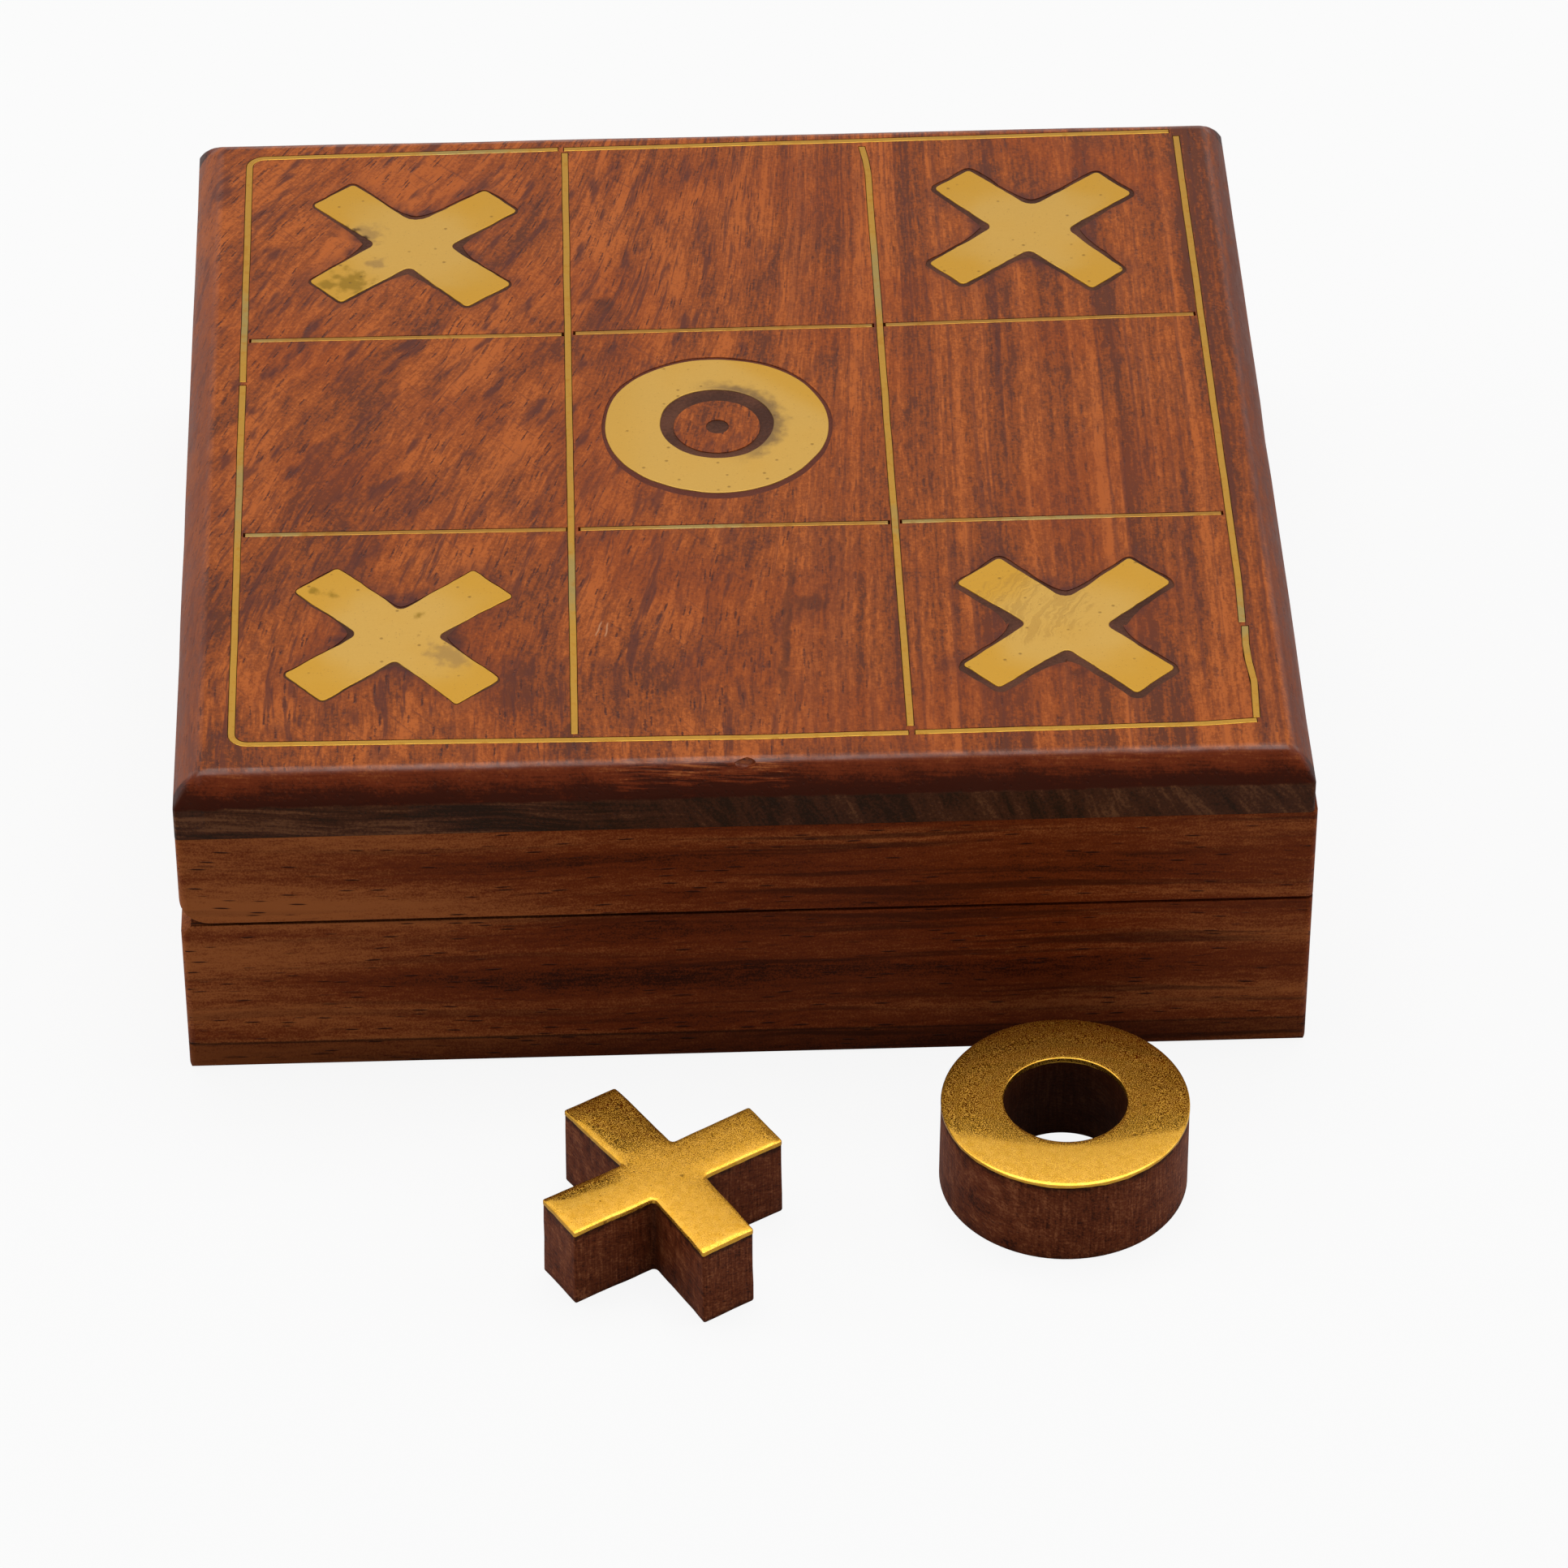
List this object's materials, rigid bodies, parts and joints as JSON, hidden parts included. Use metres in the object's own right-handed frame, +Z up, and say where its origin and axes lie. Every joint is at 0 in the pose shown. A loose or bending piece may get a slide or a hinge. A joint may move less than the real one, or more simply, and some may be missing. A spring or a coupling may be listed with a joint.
{
  "type": "tic-tac-toe board",
  "caption": "Hinged square hardwood game box with a brass grid, crosses and ring inlaid in its bevelled lid, and brass-plated wooden crosses and rings kept in the cells of its base.",
  "frame": {"origin": "centre of the box's underside, on the surface that it stands on", "axes": "+Z up, -Y the front of the box where the loose pieces lie, -X the hinge side; the lid opens from the +X side"},
  "size_m": [0.127, 0.1708, 0.0414],
  "materials": {
    "lid_wood": "polished rosewood-brown hardwood",
    "frame_wood": "polished brown hardwood",
    "panel_wood": "dull brown hardwood",
    "piece_wood": "sawn and waxed red-brown hardwood",
    "inlay_brass": "matt, rubbed flush with the wood",
    "piece_brass": "brushed and tarnished",
    "hinge_brass": "dull",
    "dark_filler": "dark lac and sawdust filler"
  },
  "bodies": {
    "base": {"base_front_wall": "frame_wood", "base_back_wall": "frame_wood", "base_left_wall": "frame_wood", "base_right_wall": "frame_wood", "bottom_panel": "panel_wood", "divider_front": "panel_wood", "divider_back": "panel_wood", "divider_left": "panel_wood", "divider_right": "panel_wood", "hinge_base_leaf_front": "hinge_brass", "hinge_base_leaf_back": "hinge_brass", "hinge_pins": "hinge_brass", "base_hinge_screws": "hinge_brass"},
    "lid": {"lid_board": "lid_wood", "lid_front_rail": "frame_wood", "lid_back_rail": "frame_wood", "lid_left_rail": "frame_wood", "lid_right_rail": "frame_wood", "hinge_lid_leaf_front": "hinge_brass", "hinge_lid_leaf_back": "hinge_brass", "lid_hinge_screws": "hinge_brass", "border_back_left": "inlay_brass", "border_front_left": "inlay_brass", "border_front_right": "inlay_brass", "border_right_front": "inlay_brass", "border_right_back": "inlay_brass", "border_back_right": "inlay_brass", "long_line_left": "inlay_brass", "long_line_right": "inlay_brass", "short_line_front_left": "inlay_brass", "short_line_front_middle": "inlay_brass", "short_line_front_right": "inlay_brass", "short_line_back_left": "inlay_brass", "short_line_back_middle": "inlay_brass", "short_line_back_right": "inlay_brass", "inlay_cross_back_left": "inlay_brass", "inlay_cross_back_right": "inlay_brass", "inlay_cross_front_left": "inlay_brass", "inlay_cross_front_right": "inlay_brass", "inlay_ring": "inlay_brass", "inlay_filler": "dark_filler"},
    "cross_1": {"cross_1_body": "piece_wood", "cross_1_plate": "piece_brass"},
    "cross_2": {"cross_2_body": "piece_wood", "cross_2_plate": "piece_brass"},
    "cross_3": {"cross_3_body": "piece_wood", "cross_3_plate": "piece_brass"},
    "cross_4": {"cross_4_body": "piece_wood", "cross_4_plate": "piece_brass"},
    "cross_5": {"cross_5_body": "piece_wood", "cross_5_plate": "piece_brass"},
    "ring_1": {"ring_1_body": "piece_wood", "ring_1_plate": "piece_brass"},
    "ring_2": {"ring_2_body": "piece_wood", "ring_2_plate": "piece_brass"},
    "ring_3": {"ring_3_body": "piece_wood", "ring_3_plate": "piece_brass"},
    "ring_4": {"ring_4_body": "piece_wood", "ring_4_plate": "piece_brass"}
  },
  "joints": [
    {"name": "lid_hinge", "type": "hinge", "parent": "base", "child": "lid", "pos_m": [-0.06225, 0, 0.02155], "axis": [0, -1, 0], "range_deg": [0, 105]},
    {"name": "cross_1_lift", "type": "slide", "parent": "base", "child": "cross_1", "axis": [0, 0, 1], "range_m": [0, 0.045]},
    {"name": "cross_2_lift", "type": "slide", "parent": "base", "child": "cross_2", "axis": [0, 0, 1], "range_m": [0, 0.018]},
    {"name": "cross_3_lift", "type": "slide", "parent": "base", "child": "cross_3", "axis": [0, 0, 1], "range_m": [0, 0.018]},
    {"name": "cross_4_lift", "type": "slide", "parent": "base", "child": "cross_4", "axis": [0, 0, 1], "range_m": [0, 0.018]},
    {"name": "cross_5_lift", "type": "slide", "parent": "base", "child": "cross_5", "axis": [0, 0, 1], "range_m": [0, 0.018]},
    {"name": "ring_1_lift", "type": "slide", "parent": "base", "child": "ring_1", "axis": [0, 0, 1], "range_m": [0, 0.045]},
    {"name": "ring_2_lift", "type": "slide", "parent": "base", "child": "ring_2", "axis": [0, 0, 1], "range_m": [0, 0.018]},
    {"name": "ring_3_lift", "type": "slide", "parent": "base", "child": "ring_3", "axis": [0, 0, 1], "range_m": [0, 0.018]},
    {"name": "ring_4_lift", "type": "slide", "parent": "base", "child": "ring_4", "axis": [0, 0, 1], "range_m": [0, 0.018]}
  ]
}
